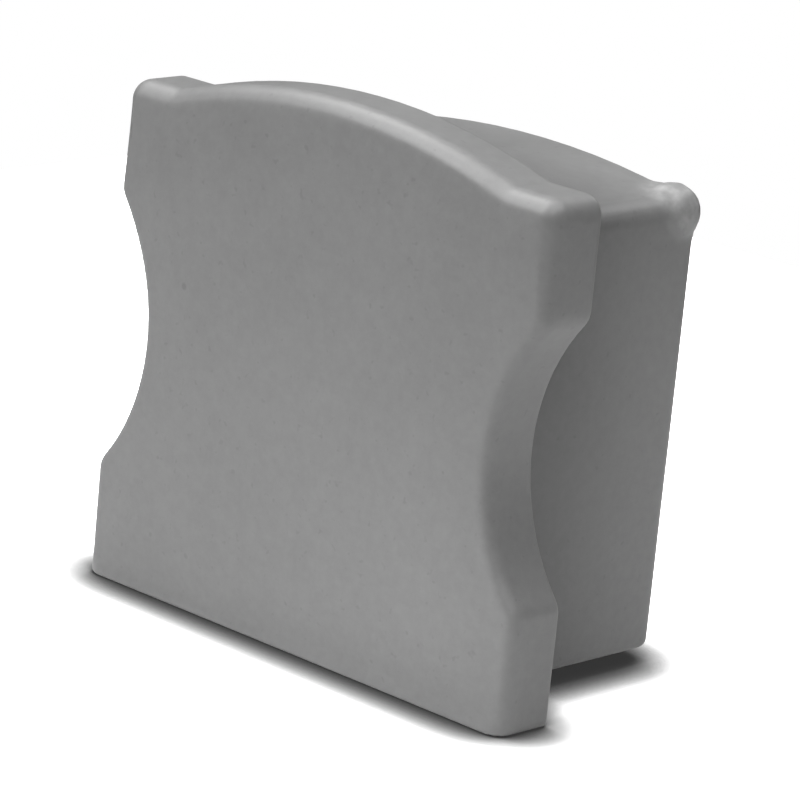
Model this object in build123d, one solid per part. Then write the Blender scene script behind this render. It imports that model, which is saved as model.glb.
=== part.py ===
"""Profile end cap: a moulded flange with an arched top and waisted sides, and a plug behind it."""
from build123d import *
import os

# The frame, in millimetres: X across the cap, Y from the flange towards the plug's tip, Z up.
# The origin is in the seating plane, at mid width, on the plane that the flange stands on.

# Flange: the plate that covers the end of the profile.
flange_width = 20.0
flange_thickness = 2.5
shoulder_height = 17.8
shoulder_width = 2.25
arch_rise = 1.2

# Round hollow in each side of the flange.
waist_bottom = 4.15
waist_top = 13.75
waist_depth = 1.85

# Rounding of the flange.
waist_corner_radius = 0.8
shoulder_corner_radius = 0.7
shoulder_root_radius = 0.6
front_edge_radius = 0.65
seat_edge_radius = 0.25
foot_edge_radius = 0.2

# Plug: the solid block that fills the profile's mouth.
plug_width = 14.75
plug_length = 8.2
plug_base_height = 0.5
plug_shoulder_height = 16.45
plug_shoulder_width = 0.95
plug_arch_rise = 0.6

# Rounding of the plug.
plug_shoulder_radius = 0.75
plug_shoulder_root_radius = 0.6
plug_tip_radius = 0.7
plug_base_radius = 0.35

# The bead of moulding flash on the plug's far top corner, and how far it stands out of each face.
bead_radius = 1.0
bead_out_of_side = 0.12
bead_out_of_top = 0.12
bead_out_of_tip = 0.12

# Two points count as one place when they are this close.
same_place = 0.01


def half_arch(end, base, rise):
    """The half of a circular arc from its end at +X up to its crown at mid width."""
    radius = (end**2 + rise**2) / (2 * rise)
    middle = end / 2
    middle_height = base + rise - radius + (radius**2 - middle**2) ** 0.5
    return ThreePointArc((end, 0, base), (middle, 0, middle_height), (0, 0, base + rise))


def mirrored_face(*right_half):
    """A face in the XZ plane from the curves of its half at +X, which run from base to crown."""
    half = Curve() + list(right_half)
    return make_face(half.edges() + mirror(half, about=Plane.YZ).edges())


def flange_face():
    """Flat foot, a round hollow in each side, flat shoulders and a shallow arch between them."""
    half = flange_width / 2
    arch_end = half - shoulder_width
    foot = Polyline((0, 0, 0), (half, 0, 0), (half, 0, waist_bottom))
    waist = ThreePointArc(
        (half, 0, waist_bottom),
        (half - waist_depth, 0, (waist_bottom + waist_top) / 2),
        (half, 0, waist_top),
    )
    shoulder = Polyline((half, 0, waist_top), (half, 0, shoulder_height), (arch_end, 0, shoulder_height))
    return mirrored_face(foot, waist, shoulder, half_arch(arch_end, shoulder_height, arch_rise))


def plug_face():
    """Straight sides, narrow shoulders and a shallow arch, smaller than the flange all round."""
    half = plug_width / 2
    arch_end = half - plug_shoulder_width
    side = Polyline(
        (0, 0, plug_base_height),
        (half, 0, plug_base_height),
        (half, 0, plug_shoulder_height),
        (arch_end, 0, plug_shoulder_height),
    )
    return mirrored_face(side, half_arch(arch_end, plug_shoulder_height, plug_arch_rise))


def edges_along_y(solid, out, height):
    """The two edges along Y at one height, one at each side of mid width."""
    def stands_there(edge):
        middle = edge @ 0.5
        return abs(abs(middle.X) - out) < same_place and abs(middle.Z - height) < same_place

    return solid.edges().filter_by(Axis.Y).filter_by(stands_there)


def edges_round_face(solid, place, base_height):
    """The edges of the end face at one Y, without the edge along its base."""
    rim = solid.edges().filter_by_position(Axis.Y, place - same_place, place + same_place)
    return rim.filter_by(lambda edge: (edge @ 0.5).Z > base_height + same_place)


def make_flange():
    half = flange_width / 2
    flange = extrude(flange_face(), flange_thickness, dir=(0, -1, 0))
    flange = fillet(edges_along_y(flange, half, waist_bottom), waist_corner_radius)
    flange = fillet(edges_along_y(flange, half, waist_top), waist_corner_radius)
    flange = fillet(edges_along_y(flange, half, shoulder_height), shoulder_corner_radius)
    flange = fillet(edges_along_y(flange, half - shoulder_width, shoulder_height), shoulder_root_radius)
    flange = fillet(edges_round_face(flange, -flange_thickness, 0), front_edge_radius)
    flange = fillet(edges_round_face(flange, 0, 0), seat_edge_radius)
    return fillet(flange.faces().sort_by(Axis.Z)[0].edges(), foot_edge_radius)


def make_plug():
    half = plug_width / 2
    plug = extrude(plug_face(), plug_length, dir=(0, 1, 0))
    plug = fillet(edges_along_y(plug, half, plug_shoulder_height), plug_shoulder_radius)
    root = half - plug_shoulder_width
    plug = fillet(edges_along_y(plug, root, plug_shoulder_height), plug_shoulder_root_radius)
    plug = fillet(edges_round_face(plug, plug_length, plug_base_height), plug_tip_radius)
    base = plug.faces().sort_by(Axis.Z)[0]
    return fillet(base.edges().filter_by(lambda edge: (edge @ 0.5).Y > same_place), plug_base_radius)


def make_bead():
    """A ball sunk into the plug's top corner at +X and +Y, so that only a low bump shows."""
    centre = (
        plug_width / 2 + bead_out_of_side - bead_radius,
        plug_length + bead_out_of_tip - bead_radius,
        plug_shoulder_height + bead_out_of_top - bead_radius,
    )
    return Pos(*centre) * Sphere(bead_radius)


end_cap = make_flange() + make_plug() + make_bead()

os.makedirs("parts", exist_ok=True)
export_step(end_cap, "parts/end_cap.step")
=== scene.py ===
"""Dresses the profile end cap: a fine moulded skin, a satin rubber finish and a plain pale studio."""

import math

import bpy
from bpy.props import FloatProperty, FloatVectorProperty, IntProperty, PointerProperty
from mathutils import Matrix, Vector


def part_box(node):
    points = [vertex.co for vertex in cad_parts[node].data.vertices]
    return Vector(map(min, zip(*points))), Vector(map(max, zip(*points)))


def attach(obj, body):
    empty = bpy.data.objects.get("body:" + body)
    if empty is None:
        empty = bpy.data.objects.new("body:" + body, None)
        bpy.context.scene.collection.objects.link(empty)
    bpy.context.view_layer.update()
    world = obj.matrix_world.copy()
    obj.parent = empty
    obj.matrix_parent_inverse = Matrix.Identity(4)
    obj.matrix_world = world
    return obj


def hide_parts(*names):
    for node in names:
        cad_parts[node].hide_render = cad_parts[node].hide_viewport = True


bl_info = {
    "name": "Profile End Cap Studio",
    "version": (1, 0, 0),
    "blender": (4, 5, 0),
    "location": "3D View > Sidebar > End Cap",
    "description": "Builds the moulded skin, the rubber finish and the studio of a profile end cap",
    "category": "Object",
}

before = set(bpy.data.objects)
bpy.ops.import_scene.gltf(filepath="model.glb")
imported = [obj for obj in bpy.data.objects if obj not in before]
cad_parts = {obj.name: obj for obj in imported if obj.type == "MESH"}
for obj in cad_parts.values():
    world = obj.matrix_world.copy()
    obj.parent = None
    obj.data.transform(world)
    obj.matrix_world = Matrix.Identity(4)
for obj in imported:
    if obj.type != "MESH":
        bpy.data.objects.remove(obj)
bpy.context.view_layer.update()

MM = 0.001
NODE = "end_cap"
BODY = "root"
SKIN = "moulded_skin"

# Each soft light: name, direction from the cap, distance, edge length, share of the power.
LIGHTS = (
    ("overhead", (0.2, -0.1, 1.0), 110 * MM, 130 * MM, 0.34),
    ("top_left", (-0.6, 0.0, 0.9), 150 * MM, 60 * MM, 0.26),
    ("front_left", (-0.5, -0.6, 0.8), 150 * MM, 60 * MM, 0.29),
    ("front_right", (0.6, -0.7, 0.9), 150 * MM, 60 * MM, 0.08),
    ("rear", (-0.05, 0.85, 0.55), 150 * MM, 60 * MM, 0.06),
    ("low_front", (0.25, -0.8, -0.58), 15 * MM, 10 * MM, 0.0005),
)

CAP_LOW, CAP_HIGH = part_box(NODE)
PLUG_TIP = CAP_HIGH.y

# The rim: faces of the flange that turn away from the front, ahead of a plane near the seat.
RIM_TURN = 0.2
RIM_BACK = -0.3 * MM
# Share of the crown's reach over which it sets in behind a rim that keeps its own place.
CROWN_ONSET = 0.24
# Shares of the cap's height between which the rim itself begins to fall back with the crown.
BROW_HEIGHTS = (0.58, 0.90)
# Shares of the flange's thickness between which the crown's fall dies away.
CROWN_THICKNESS = (0.80, 0.16)
# Length of one lump on the bead, as a share of the bead's reach, and where the lumps die away.
LUMP_SHARE = 0.22
LUMP_EDGE = 0.55

# Scales of the finish's noises, per metre.
MOTTLE_SCALE = 2600
CLOUD_SCALE = 230
SPECK_SCALE = 3800
SCUFF_SCALE = 2300
GRAIN_SCALE = 5200
RIPPLE_SCALE = 900
# Share of the mottle in the body colour, beside the broader clouds.
MOTTLE_SHARE = 0.6
# How far the clouds and the mottle change the roughness.
CLOUD_GLOSS = 0.10
MOTTLE_GLOSS = 0.08
# Noise between these values grows from no speck to a full one. A speck is mixed in by its strength,
# and its own colour is this tone of the body colour.
SPECK_RANGE = (0.68, 0.80)
SPECK_STRENGTH = 0.30
SPECK_TONE = 0.62
# The same for the small dark mark on the front face.
MARK_STRENGTH = 0.45
MARK_TONE = 0.5
# Noise between these values takes the scuffed bead from its least to its most pale share.
SCUFF_RANGE = (0.40, 0.72)
SCUFF_SHARES = (0.25, 0.85)
# Where the painted shade and light along the plug set in, behind the seat.
PAINTED_SHADE_AND_LIGHT_ONSET = (0.05 * MM, 0.25 * MM)

# Floor beside the cap: openness to the sky there and far off, and the logarithm of its paleness.
CONTACT_OPENNESS = (0.47, 1.0)
CONTACT_PALENESS = (-4.2, -0.4)
# White of the floor that the camera sees: the share that the lights show, and the floor's own.
LIT_WHITE = 1.5
OWN_WHITE = 2.3
# Widths of the cap from its middle to the floor's edge.
FLOOR_WIDTHS = 3


# ---------------------------------------------------------------- settings


class EndCapSkinSettings(bpy.types.PropertyGroup):
    """Sizes of the moulded skin."""

    grain_mm: FloatProperty(
        name="Mesh grain",
        description="Edge length of the skin's faces, in millimetres",
        default=0.13,
        min=0.05,
        max=1.0,
    )
    wave_height: FloatProperty(
        name="Wave height",
        description="How far the moulded faces wander from flat",
        default=0.012 * MM,
        min=0.0,
        unit="LENGTH",
    )
    wave_length: FloatProperty(
        name="Wave length",
        description="Distance between two swells of the moulded faces",
        default=4.0 * MM,
        min=0.1 * MM,
        unit="LENGTH",
    )
    crown_depth: FloatProperty(
        name="Crown depth",
        description="How far the flange's front face falls back beside its rim",
        default=0.24 * MM,
        min=0.0,
        unit="LENGTH",
    )
    crown_reach: FloatProperty(
        name="Crown reach",
        description="How far in from the rim the front face starts to fall back",
        default=2.8 * MM,
        min=0.1 * MM,
        unit="LENGTH",
    )
    bead_swell: FloatProperty(
        name="Flash swell",
        description="How far the bead of flash stands out past the plug's corner",
        default=0.30 * MM,
        min=0.0,
        unit="LENGTH",
    )
    bead_place: FloatVectorProperty(
        name="Flash bead",
        description="Middle of the bead of moulding flash on the plug's far top corner",
        size=3,
        default=(6.9 * MM, PLUG_TIP - 0.7 * MM, 16.45 * MM),
        subtype="TRANSLATION",
        unit="LENGTH",
    )
    bead_reach: FloatProperty(
        name="Flash reach",
        description="Radius over which the flash is lumpy",
        default=1.75 * MM,
        min=0.1 * MM,
        unit="LENGTH",
    )
    bead_lump: FloatProperty(
        name="Flash lumps",
        description="Height of the lumps on the bead of flash",
        default=0.06 * MM,
        min=0.0,
        unit="LENGTH",
    )
    seed: IntProperty(
        name="Seed",
        description="Chooses another pattern of swells and lumps",
        default=7,
    )


class EndCapFinishSettings(bpy.types.PropertyGroup):
    """Colours, gloss and marks of the rubber, and the painted shade and light along the plug."""

    rubber_colour: FloatVectorProperty(
        name="Rubber",
        description="Body colour of the moulded rubber",
        size=3,
        default=(0.262, 0.262, 0.262),
        min=0.0,
        max=1.0,
        subtype="COLOR",
    )
    mottle_depth: FloatProperty(
        name="Mottle depth",
        description="How much darker the darkest mottle is than the lightest",
        default=0.16,
        min=0.0,
        max=1.0,
        subtype="FACTOR",
    )
    flash_colour: FloatVectorProperty(
        name="Flash",
        description="Colour of the pale scuffed flash on the plug's corner",
        size=3,
        default=(0.52, 0.52, 0.52),
        min=0.0,
        max=1.0,
        subtype="COLOR",
    )
    # Painted shade: the plug's skin darkened beside the flange, where the flange shades it.
    root_painted_shade: FloatProperty(
        name="Plug root tint",
        description="Paleness of the plug's skin beside the flange, against the flange's",
        default=0.62,
        min=0.0,
        max=2.0,
        subtype="FACTOR",
    )
    # Painted light: the plug's skin paled towards its tip, where more light falls.
    tip_painted_light: FloatProperty(
        name="Plug tip tint",
        description="Paleness of the plug's skin at its tip, where light is painted, against the flange's",
        default=1.08,
        min=0.0,
        max=2.0,
        subtype="FACTOR",
    )
    mark_place: FloatVectorProperty(
        name="Dark mark",
        description="Middle of the small dark mark on the front face",
        size=3,
        default=(-6.15 * MM, CAP_LOW.y, 11.3 * MM),
        subtype="TRANSLATION",
        unit="LENGTH",
    )
    mark_size: FloatProperty(
        name="Mark size",
        description="Radius of the small dark mark",
        default=0.13 * MM,
        min=0.01 * MM,
        unit="LENGTH",
    )
    roughness: FloatProperty(
        name="Roughness",
        description="Mean roughness of the satin surface",
        default=0.44,
        min=0.0,
        max=1.0,
        subtype="FACTOR",
    )


class EndCapStageSettings(bpy.types.PropertyGroup):
    """Camera, floor and lights."""

    azimuth: FloatProperty(
        name="Azimuth",
        description="Camera's turn round the cap from straight in front, towards +X",
        default=math.radians(42.64),
        subtype="ANGLE",
    )
    elevation: FloatProperty(
        name="Elevation",
        description="Camera's height angle",
        default=math.radians(15.26),
        subtype="ANGLE",
    )
    roll: FloatProperty(
        name="Roll",
        description="Camera's turn about its own line of sight",
        default=math.radians(5.54),
        subtype="ANGLE",
    )
    distance: FloatProperty(
        name="Distance",
        description="From the camera to the point that it looks at",
        default=142.6 * MM,
        unit="LENGTH",
    )
    target: FloatVectorProperty(
        name="Target",
        description="Point that the camera looks at",
        size=3,
        default=(1.55 * MM, 0.5 * MM, 8.87 * MM),
        subtype="TRANSLATION",
        unit="LENGTH",
    )
    lens_mm: FloatProperty(
        name="Lens",
        description="Focal length of the camera, in millimetres",
        default=191.6,
        unit="CAMERA",
    )
    floor_colour: FloatProperty(
        name="Floor paleness",
        description="Share of the light that the floor gives back to the cap",
        default=0.90,
        min=0.0,
        max=1.0,
        subtype="FACTOR",
    )
    contact_reach: FloatProperty(
        name="Contact shadow",
        description="Reach of the dark contact shadow on the floor",
        default=2.2 * MM,
        unit="LENGTH",
    )
    light_power: FloatProperty(
        name="Light power",
        description="Power that the soft lights share",
        default=0.312,
        min=0.0,
        unit="POWER",
    )
    sky_level: FloatProperty(
        name="Surrounding light",
        description="Strength of the even light from all round",
        default=0.0,
        min=0.0,
    )


# ---------------------------------------------------------------- node helpers


def add_node(tree, kind, props=None, inputs=None):
    """A node with its properties and its unlinked inputs set; an input is given by its name."""
    node = tree.nodes.new(kind)
    for key, value in (props or {}).items():
        setattr(node, key, value)
    for key, value in (inputs or {}).items():
        node.inputs[key].default_value = value
    return node


def math_node(tree, operation, first, second=0.0):
    """A Math node; each operand is a socket or a number, and some operations use only the first."""
    node = add_node(tree, "ShaderNodeMath", props={"operation": operation})
    for place, operand in enumerate((first, second)):
        if isinstance(operand, (int, float)):
            node.inputs[place].default_value = operand
        else:
            tree.links.new(operand, node.inputs[place])
    return node.outputs[0]


def vector_node(tree, operation, first, second):
    """A Vector Math node; each operand is a socket or a triple."""
    node = add_node(tree, "ShaderNodeVectorMath", props={"operation": operation})
    for place, operand in enumerate((first, second)):
        if isinstance(operand, tuple):
            node.inputs[place].default_value = operand
        else:
            tree.links.new(operand, node.inputs[place])
    return node


def map_node(tree, value, source, result, smooth=False):
    """A Map Range node from one pair of limits to another."""
    node = add_node(tree, "ShaderNodeMapRange", props={"clamp": True})
    if smooth:
        node.interpolation_type = "SMOOTHSTEP"
    tree.links.new(value, node.inputs["Value"])
    node.inputs["From Min"].default_value, node.inputs["From Max"].default_value = source
    node.inputs["To Min"].default_value, node.inputs["To Max"].default_value = result
    return node.outputs["Result"]


# ---------------------------------------------------------------- skin


SKIN_NUMBERS = (
    "Wave Height",
    "Wave Length",
    "Crown Depth",
    "Crown Reach",
    "Rim Back",
    "Bead Reach",
    "Bead Swell",
    "Bead Lump",
    "Seed",
)


def crown_fall(tree, given, place, normal):
    """How far the front face falls back: most beside its rim, and nothing further in than the reach.

    The rim keeps its place low on the cap, and falls back with the face along the arch and shoulders.
    """
    split = tree.nodes.new("ShaderNodeSeparateXYZ")
    tree.links.new(place, split.inputs[0])
    facing = tree.nodes.new("ShaderNodeSeparateXYZ")
    tree.links.new(normal, facing.inputs[0])
    turned = math_node(tree, "ABSOLUTE", facing.outputs["Y"])
    edge_on = math_node(tree, "LESS_THAN", turned, RIM_TURN)
    ahead = math_node(tree, "LESS_THAN", split.outputs["Y"], given["Rim Back"])
    rim = tree.nodes.new("GeometryNodeSeparateGeometry")
    rim.domain = "FACE"
    tree.links.new(given["Skin"], rim.inputs["Geometry"])
    tree.links.new(math_node(tree, "MULTIPLY", edge_on, ahead), rim.inputs["Selection"])
    level = vector_node(tree, "MULTIPLY", place, (1.0, 0.0, 1.0)).outputs[0]
    outline = tree.nodes.new("GeometryNodeSetPosition")
    tree.links.new(rim.outputs[0], outline.inputs["Geometry"])
    tree.links.new(level, outline.inputs["Position"])
    near = add_node(tree, "GeometryNodeProximity", props={"target_element": "EDGES"})
    tree.links.new(outline.outputs[0], near.inputs[0])
    tree.links.new(level, near.inputs["Sample Position"])
    share = math_node(tree, "DIVIDE", near.outputs["Distance"], given["Crown Reach"])
    past_rim = map_node(tree, share, (0.0, CROWN_ONSET), (0.0, 1.0), smooth=True)
    brow_heights = [part * CAP_HIGH.z for part in BROW_HEIGHTS]
    brow = map_node(tree, split.outputs["Z"], brow_heights, (0.0, 1.0), smooth=True)
    kept = math_node(tree, "MAXIMUM", past_rim, brow)
    inward = math_node(tree, "POWER", map_node(tree, share, (0.0, 1.0), (1.0, 0.0)), 2.0)
    depths = [part * CAP_LOW.y for part in CROWN_THICKNESS]
    front = map_node(tree, split.outputs["Y"], depths, (1.0, 0.0))
    fall = math_node(tree, "MULTIPLY", math_node(tree, "MULTIPLY", kept, inward), front)
    return math_node(tree, "MULTIPLY", fall, given["Crown Depth"])


def skin_tree():
    """Geometry Nodes: swells over the whole skin, a crowned front face and a lumpy bead of flash."""
    tree = bpy.data.node_groups.new("moulded_skin_rule", "GeometryNodeTree")
    face = tree.interface
    face.new_socket("Skin", in_out="INPUT", socket_type="NodeSocketGeometry")
    for name in SKIN_NUMBERS:
        face.new_socket(name, in_out="INPUT", socket_type="NodeSocketFloat")
    face.new_socket("Bead Place", in_out="INPUT", socket_type="NodeSocketVector")
    face.new_socket("Finish", in_out="INPUT", socket_type="NodeSocketMaterial")
    face.new_socket("Skin", in_out="OUTPUT", socket_type="NodeSocketGeometry")

    given = tree.nodes.new("NodeGroupInput").outputs
    place = tree.nodes.new("GeometryNodeInputPosition").outputs[0]
    normal = tree.nodes.new("GeometryNodeInputNormal").outputs[0]

    def swell(length, height, octaves):
        """Noise of one wavelength, as a height to each side of zero."""
        noise = add_node(
            tree,
            "ShaderNodeTexNoise",
            props={"noise_dimensions": "4D"},
            inputs={"Detail": octaves},
        )
        tree.links.new(place, noise.inputs["Vector"])
        tree.links.new(given["Seed"], noise.inputs["W"])
        tree.links.new(math_node(tree, "DIVIDE", 1.0, length), noise.inputs["Scale"])
        centred = math_node(tree, "SUBTRACT", noise.outputs[0], 0.5)
        return math_node(tree, "MULTIPLY", centred, math_node(tree, "MULTIPLY", height, 2.0))

    away = vector_node(tree, "DISTANCE", place, given["Bead Place"])
    share = math_node(tree, "DIVIDE", away.outputs["Value"], given["Bead Reach"])
    on_bead = map_node(tree, share, (LUMP_EDGE, 1.0), (1.0, 0.0), smooth=True)
    lump_length = math_node(tree, "MULTIPLY", given["Bead Reach"], LUMP_SHARE)
    lumps = math_node(tree, "MULTIPLY", swell(lump_length, given["Bead Lump"], 2.0), on_bead)

    whole_bead = map_node(tree, share, (0.0, 1.0), (1.0, 0.0), smooth=True)
    swollen = math_node(tree, "MULTIPLY", whole_bead, given["Bead Swell"])
    bulge = math_node(tree, "ADD", swollen, lumps)
    height = math_node(tree, "ADD", swell(given["Wave Length"], given["Wave Height"], 1.0), bulge)
    offset = add_node(tree, "ShaderNodeVectorMath", props={"operation": "SCALE"})
    tree.links.new(normal, offset.inputs[0])
    tree.links.new(height, offset.inputs["Scale"])

    fall = tree.nodes.new("ShaderNodeCombineXYZ")
    tree.links.new(crown_fall(tree, given, place, normal), fall.inputs["Y"])
    both = vector_node(tree, "ADD", offset.outputs[0], fall.outputs[0])

    moved = tree.nodes.new("GeometryNodeSetPosition")
    tree.links.new(given["Skin"], moved.inputs["Geometry"])
    tree.links.new(both.outputs[0], moved.inputs["Offset"])
    smooth = tree.nodes.new("GeometryNodeSetShadeSmooth")
    tree.links.new(moved.outputs[0], smooth.inputs[0])
    real = tree.nodes.new("GeometryNodeRealizeInstances")
    tree.links.new(smooth.outputs[0], real.inputs[0])
    finish = tree.nodes.new("GeometryNodeSetMaterial")
    tree.links.new(real.outputs[0], finish.inputs["Geometry"])
    tree.links.new(given["Finish"], finish.inputs["Material"])
    result = tree.nodes.new("NodeGroupOutput")
    tree.links.new(finish.outputs[0], result.inputs[0])
    return tree


def merged_copy(source, name, scale):
    """A copy of a CAD node's mesh with its doubled corners merged, scaled for working on."""
    mesh = source.data.copy()
    mesh.name = name
    mesh.transform(Matrix.Scale(scale, 4))
    piece = bpy.data.objects.new(name, mesh)
    bpy.context.scene.collection.objects.link(piece)
    weld = piece.modifiers.new("weld", "WELD")
    weld.merge_threshold = 1e-5 * scale
    return baked(piece)


def baked(piece):
    """Applies every modifier of a piece to its mesh."""
    view = bpy.context.evaluated_depsgraph_get()
    mesh = bpy.data.meshes.new_from_object(piece.evaluated_get(view), depsgraph=view)
    old = piece.data
    piece.modifiers.clear()
    piece.data = mesh
    bpy.data.meshes.remove(old)
    return piece


def fine_skin(grain):
    """An even, fine mesh that lies on the CAD solid's surface; it is worked on in millimetres."""
    solid = merged_copy(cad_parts[NODE], "cap_form", 1 / MM)
    skin = solid.copy()
    skin.data = solid.data.copy()
    skin.name = SKIN
    bpy.context.scene.collection.objects.link(skin)
    remesh = skin.modifiers.new("even_faces", "REMESH")
    remesh.mode = "VOXEL"
    remesh.voxel_size = grain
    remesh.adaptivity = 0.0
    wrap = skin.modifiers.new("onto_form", "SHRINKWRAP")
    wrap.target = solid
    wrap.wrap_method = "NEAREST_SURFACEPOINT"
    baked(skin)
    bpy.data.objects.remove(solid)
    skin.data.transform(Matrix.Scale(MM, 4))
    return skin


def set_inputs(modifier, values):
    """Sets a Geometry Nodes modifier's inputs, which are given by name, through their identifiers."""
    for socket in modifier.node_group.interface.items_tree:
        if socket.in_out == "INPUT" and socket.name in values:
            modifier[socket.identifier] = values[socket.name]


class EndCapBuildSkin(bpy.types.Operator):
    """Make the moulded skin of the end cap, with its swells and its bead of flash"""

    bl_idname = "endcap.build_skin"
    bl_label = "Build Skin"

    def execute(self, context):
        sizes = context.scene.end_cap_skin
        skin = fine_skin(sizes.grain_mm)
        rule = skin.modifiers.new("skin_rule", "NODES")
        rule.node_group = skin_tree()
        set_inputs(
            rule,
            {
                "Wave Height": sizes.wave_height,
                "Wave Length": sizes.wave_length,
                "Crown Depth": sizes.crown_depth,
                "Crown Reach": sizes.crown_reach,
                "Rim Back": RIM_BACK,
                "Bead Reach": sizes.bead_reach,
                "Bead Swell": sizes.bead_swell,
                "Bead Lump": sizes.bead_lump,
                "Seed": float(sizes.seed),
                "Bead Place": tuple(sizes.bead_place),
                "Finish": rubber_finish(context.scene.end_cap_finish, sizes),
            },
        )
        baked(skin)
        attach(skin, BODY)
        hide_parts(NODE)
        return {"FINISHED"}


# ---------------------------------------------------------------- finish


def object_noise(tree, coords, scale, detail, rough=0.5, offset=(0, 0, 0)):
    """Noise on object coordinates, shifted by an offset so that layers don't line up."""
    shift = add_node(tree, "ShaderNodeMapping")
    shift.inputs["Location"].default_value = offset
    tree.links.new(coords, shift.inputs["Vector"])
    sizes = {"Scale": scale, "Detail": detail, "Roughness": rough}
    noise = add_node(tree, "ShaderNodeTexNoise", inputs=sizes)
    tree.links.new(shift.outputs[0], noise.inputs["Vector"])
    return noise.outputs[0]


def mixed_colour(tree, factor, first, second):
    """A colour mix; each colour is a socket or a triple."""
    mix = add_node(tree, "ShaderNodeMix", props={"data_type": "RGBA"})
    tree.links.new(factor, mix.inputs["Factor"])
    for name, colour in (("A", first), ("B", second)):
        socket = [s for s in mix.inputs if s.name == name and s.type == "RGBA"][0]
        if isinstance(colour, bpy.types.NodeSocket):
            tree.links.new(colour, socket)
        else:
            socket.default_value = (*colour, 1.0)
    return [s for s in mix.outputs if s.type == "RGBA"][0]


def rubber_finish(look, sizes):
    """Satin moulded rubber: mottle, specks, clouded gloss, painted shade beside the flange and painted
    light towards the plug's tip, a mark and a pale bead.
    """
    material = bpy.data.materials.new("satin_moulded_rubber")
    material.use_nodes = True
    tree = material.node_tree
    shader = tree.nodes["Principled BSDF"]
    coords = tree.nodes.new("ShaderNodeTexCoord").outputs["Object"]
    colour = Vector(look.rubber_colour)

    mottle = object_noise(tree, coords, MOTTLE_SCALE, 3.0, 0.6)
    cloud = object_noise(tree, coords, CLOUD_SCALE, 2.0, 0.5, (0.3, 0.1, 0.2))
    depth = look.mottle_depth
    dark = colour * (1 - depth / 2)
    light = colour * (1 + depth / 2)
    both = math_node(
        tree,
        "ADD",
        math_node(tree, "MULTIPLY", mottle, MOTTLE_SHARE),
        math_node(tree, "MULTIPLY", cloud, 1 - MOTTLE_SHARE),
    )
    body = mixed_colour(tree, map_node(tree, both, (0.3, 0.7), (0.0, 1.0)), dark, light)

    specks = object_noise(tree, coords, SPECK_SCALE, 1.0, 0.4, (0.7, 0.2, 0.9))
    speck = map_node(tree, specks, SPECK_RANGE, (0.0, SPECK_STRENGTH), smooth=True)
    body = mixed_colour(tree, speck, body, colour * SPECK_TONE)

    # Painted shade and light along the plug: darker beside the flange, where the flange shades it, and
    # paler towards its tip, where more light falls. The flange keeps its colour.
    along = tree.nodes.new("ShaderNodeSeparateXYZ")
    tree.links.new(coords, along.inputs[0])
    painted_shade_to_light = map_node(tree, along.outputs["Y"], (0.0, PLUG_TIP), (0.0, 1.0), smooth=True)
    tint = mixed_colour(tree, painted_shade_to_light, (look.root_painted_shade,) * 3, (look.tip_painted_light,) * 3)
    on_plug = map_node(tree, along.outputs["Y"], PAINTED_SHADE_AND_LIGHT_ONSET, (0.0, 1.0), smooth=True)
    tint = mixed_colour(tree, on_plug, (1.0, 1.0, 1.0), tint)
    body = vector_node(tree, "MULTIPLY", body, tint).outputs[0]

    beside = vector_node(tree, "DISTANCE", coords, tuple(look.mark_place)).outputs["Value"]
    mark_edge = (0.5 * look.mark_size, 1.3 * look.mark_size)
    mark = map_node(tree, beside, mark_edge, (MARK_STRENGTH, 0.0), smooth=True)
    body = mixed_colour(tree, mark, body, colour * MARK_TONE)

    away = vector_node(tree, "DISTANCE", coords, tuple(sizes.bead_place)).outputs["Value"]
    bead_edge = (0.45 * sizes.bead_reach, sizes.bead_reach)
    on_bead = map_node(tree, away, bead_edge, (1.0, 0.0), smooth=True)
    patch = object_noise(tree, coords, SCUFF_SCALE, 2.0, 0.55, (0.4, 0.6, 0.1))
    scuff = math_node(tree, "MULTIPLY", on_bead, map_node(tree, patch, SCUFF_RANGE, SCUFF_SHARES))
    body = mixed_colour(tree, scuff, body, tuple(look.flash_colour))
    tree.links.new(body, shader.inputs["Base Color"])

    gloss = math_node(
        tree,
        "ADD",
        math_node(tree, "MULTIPLY", cloud, CLOUD_GLOSS),
        math_node(tree, "MULTIPLY", mottle, MOTTLE_GLOSS),
    )
    least = look.roughness - (CLOUD_GLOSS + MOTTLE_GLOSS) / 2
    tree.links.new(math_node(tree, "ADD", gloss, least), shader.inputs["Roughness"])

    grain = object_noise(tree, coords, GRAIN_SCALE, 2.0, 0.6, (0.5, 0.8, 0.3))
    bump = add_node(tree, "ShaderNodeBump", inputs={"Strength": 0.35, "Distance": 0.01 * MM})
    tree.links.new(grain, bump.inputs["Height"])
    ripple = add_node(tree, "ShaderNodeBump", inputs={"Strength": 0.5, "Distance": 0.02 * MM})
    waves = object_noise(tree, coords, RIPPLE_SCALE, 2.0, 0.5, (0.9, 0.4, 0.6))
    tree.links.new(waves, ripple.inputs["Height"])
    tree.links.new(ripple.outputs[0], bump.inputs["Normal"])
    tree.links.new(bump.outputs[0], shader.inputs["Normal"])

    shader.inputs["Specular IOR Level"].default_value = 0.7
    shader.inputs["Subsurface Weight"].default_value = 0.15
    shader.inputs["Subsurface Radius"].default_value = (1.0, 1.0, 1.0)
    shader.inputs["Subsurface Scale"].default_value = 0.4 * MM
    return material


class EndCapFinishNode(bpy.types.Operator):
    """Give the construction solid the same rubber finish as the skin"""

    bl_idname = "endcap.finish_node"
    bl_label = "Finish Solid"

    def execute(self, context):
        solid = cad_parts[NODE]
        solid.data.materials.clear()
        solid.data.materials.append(bpy.data.materials["satin_moulded_rubber"])
        return {"FINISHED"}


# ---------------------------------------------------------------- stage


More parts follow.
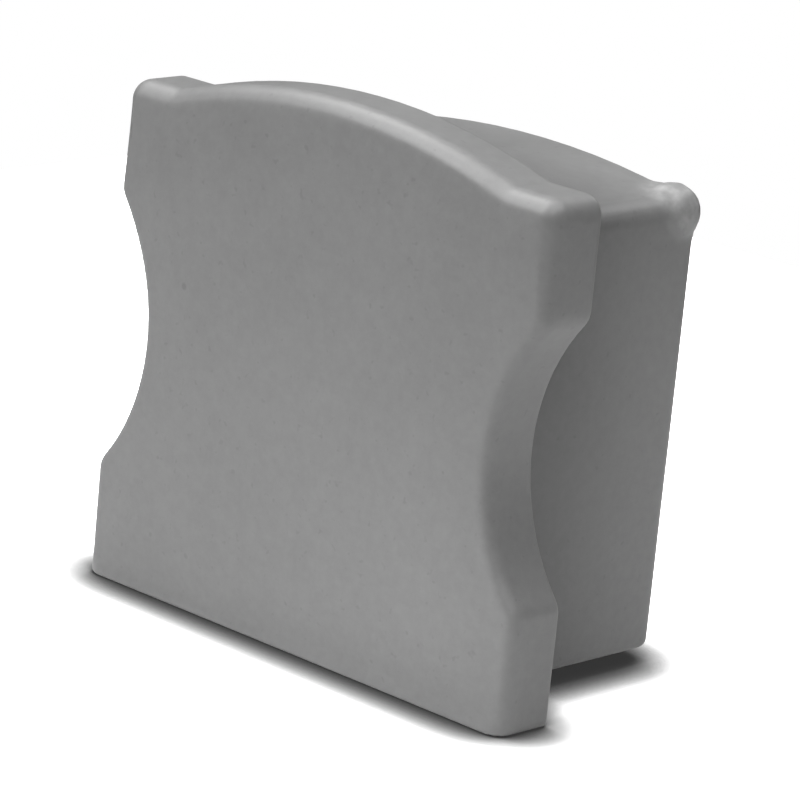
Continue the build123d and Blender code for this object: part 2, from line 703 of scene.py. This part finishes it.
def pale_floor(stage):
    """A wide pale floor at the height of the cap's foot; the camera sees it white, dark beside the cap."""
    half = FLOOR_WIDTHS * (CAP_HIGH.x - CAP_LOW.x)
    height = CAP_LOW.z
    mesh = bpy.data.meshes.new("floor")
    corners = [(-half, -half, height), (half, -half, height), (half, half, height), (-half, half, height)]
    mesh.from_pydata(corners, [], [(0, 1, 2, 3)])
    floor = bpy.data.objects.new("floor", mesh)
    bpy.context.scene.collection.objects.link(floor)

    material = bpy.data.materials.new("floor_paper")
    material.use_nodes = True
    tree = material.node_tree
    tree.nodes.remove(tree.nodes["Principled BSDF"])
    rays = tree.nodes.new("ShaderNodeLightPath").outputs
    seen = math_node(tree, "MAXIMUM", rays["Is Camera Ray"], rays["Is Transmission Ray"])
    paper = stage.floor_colour
    contact = add_node(tree, "ShaderNodeAmbientOcclusion", inputs={"Distance": stage.contact_reach})
    contact.samples = 16
    paleness = map_node(tree, contact.outputs["AO"], CONTACT_OPENNESS, CONTACT_PALENESS)
    fade = math_node(tree, "EXPONENT", paleness)
    shaded = mixed_colour(tree, fade, (0.0,) * 3, (LIT_WHITE,) * 3)
    matt = tree.nodes.new("ShaderNodeBsdfDiffuse")
    tree.links.new(mixed_colour(tree, seen, (paper,) * 3, shaded), matt.inputs["Color"])
    glow = tree.nodes.new("ShaderNodeEmission")
    own = math_node(tree, "MULTIPLY", fade, OWN_WHITE)
    own_seen = math_node(tree, "MULTIPLY", own, rays["Is Camera Ray"])
    tree.links.new(own_seen, glow.inputs["Strength"])
    both = tree.nodes.new("ShaderNodeAddShader")
    tree.links.new(matt.outputs[0], both.inputs[0])
    tree.links.new(glow.outputs[0], both.inputs[1])
    tree.links.new(both.outputs[0], tree.nodes["Material Output"].inputs["Surface"])
    mesh.materials.append(material)


def even_surroundings(stage):
    """Even light from all round, seen by the camera as white."""
    world = bpy.data.worlds.new("studio_air")
    world.use_nodes = True
    tree = world.node_tree
    back = tree.nodes["Background"]
    seen = tree.nodes.new("ShaderNodeLightPath").outputs["Is Camera Ray"]
    tree.links.new(map_node(tree, seen, (0.0, 1.0), (stage.sky_level, 1.0)), back.inputs["Strength"])
    back.inputs["Color"].default_value = (1, 1, 1, 1)
    bpy.context.scene.world = world


def soft_light(name, place, aim, size, power):
    """A square area light that points at a place on the cap."""
    lamp = bpy.data.lights.new(name, "AREA")
    lamp.shape = "SQUARE"
    lamp.size = size
    lamp.energy = power
    light = bpy.data.objects.new(name, lamp)
    bpy.context.scene.collection.objects.link(light)
    light.location = place
    light.rotation_euler = (Vector(aim) - Vector(place)).to_track_quat("-Z", "Y").to_euler()


def studio_camera(stage):
    """The camera, turned about its own line of sight by the roll."""
    target = Vector(stage.target)
    back = Vector((
        math.sin(stage.azimuth) * math.cos(stage.elevation),
        -math.cos(stage.azimuth) * math.cos(stage.elevation),
        math.sin(stage.elevation),
    ))
    level = Vector((0, 0, 1)).cross(back).normalized()
    up = back.cross(level)
    across = level * math.cos(stage.roll) + up * math.sin(stage.roll)
    upward = up * math.cos(stage.roll) - level * math.sin(stage.roll)
    lens = bpy.data.cameras.new("camera")
    lens.lens = stage.lens_mm
    lens.sensor_width = 36
    lens.clip_start = 0.005
    lens.clip_end = 10
    camera = bpy.data.objects.new("camera", lens)
    bpy.context.scene.collection.objects.link(camera)
    turn = Matrix((across, upward, back)).transposed().to_4x4()
    camera.matrix_world = Matrix.Translation(target + back * stage.distance) @ turn
    bpy.context.scene.camera = camera


class EndCapBuildStage(bpy.types.Operator):
    """Set up the floor, the soft lights and the camera"""

    bl_idname = "endcap.build_stage"
    bl_label = "Build Stage"

    def execute(self, context):
        stage = context.scene.end_cap_stage
        pale_floor(stage)
        even_surroundings(stage)
        middle = (CAP_LOW + CAP_HIGH) / 2
        for name, direction, distance, size, share in LIGHTS:
            place = middle + Vector(direction).normalized() * distance
            soft_light(name, place, middle, size, share * stage.light_power)
        studio_camera(stage)
        context.scene.view_settings.view_transform = "Standard"
        return {"FINISHED"}


# ---------------------------------------------------------------- panel and registration


class EndCapPanel(bpy.types.Panel):
    """The end cap's steps and sizes"""

    bl_idname = "VIEW3D_PT_end_cap"
    bl_label = "End Cap"
    bl_space_type = "VIEW_3D"
    bl_region_type = "UI"
    bl_category = "End Cap"

    def draw(self, context):
        for group, operator in STEPS:
            box = self.layout.box()
            box.operator(operator.bl_idname)
            settings = getattr(context.scene, group)
            for name in settings.__annotations__:
                box.prop(settings, name)


STEPS = (
    ("end_cap_skin", EndCapBuildSkin),
    ("end_cap_finish", EndCapFinishNode),
    ("end_cap_stage", EndCapBuildStage),
)
SETTINGS = {
    "end_cap_skin": EndCapSkinSettings,
    "end_cap_finish": EndCapFinishSettings,
    "end_cap_stage": EndCapStageSettings,
}
CLASSES = (*SETTINGS.values(), EndCapBuildSkin, EndCapFinishNode, EndCapBuildStage, EndCapPanel)


def register():
    """Adds the settings, the operators and the panel."""
    for item in CLASSES:
        bpy.utils.register_class(item)
    for name, group in SETTINGS.items():
        setattr(bpy.types.Scene, name, PointerProperty(type=group))


def unregister():
    """Takes away what register adds."""
    for name in SETTINGS:
        delattr(bpy.types.Scene, name)
    for item in reversed(CLASSES):
        bpy.utils.unregister_class(item)


def main():
    """Builds the dressed cap and its stage."""
    register()
    bpy.ops.endcap.build_skin()
    bpy.ops.endcap.finish_node()
    bpy.ops.endcap.build_stage()


if __name__ == "__main__":
    main()
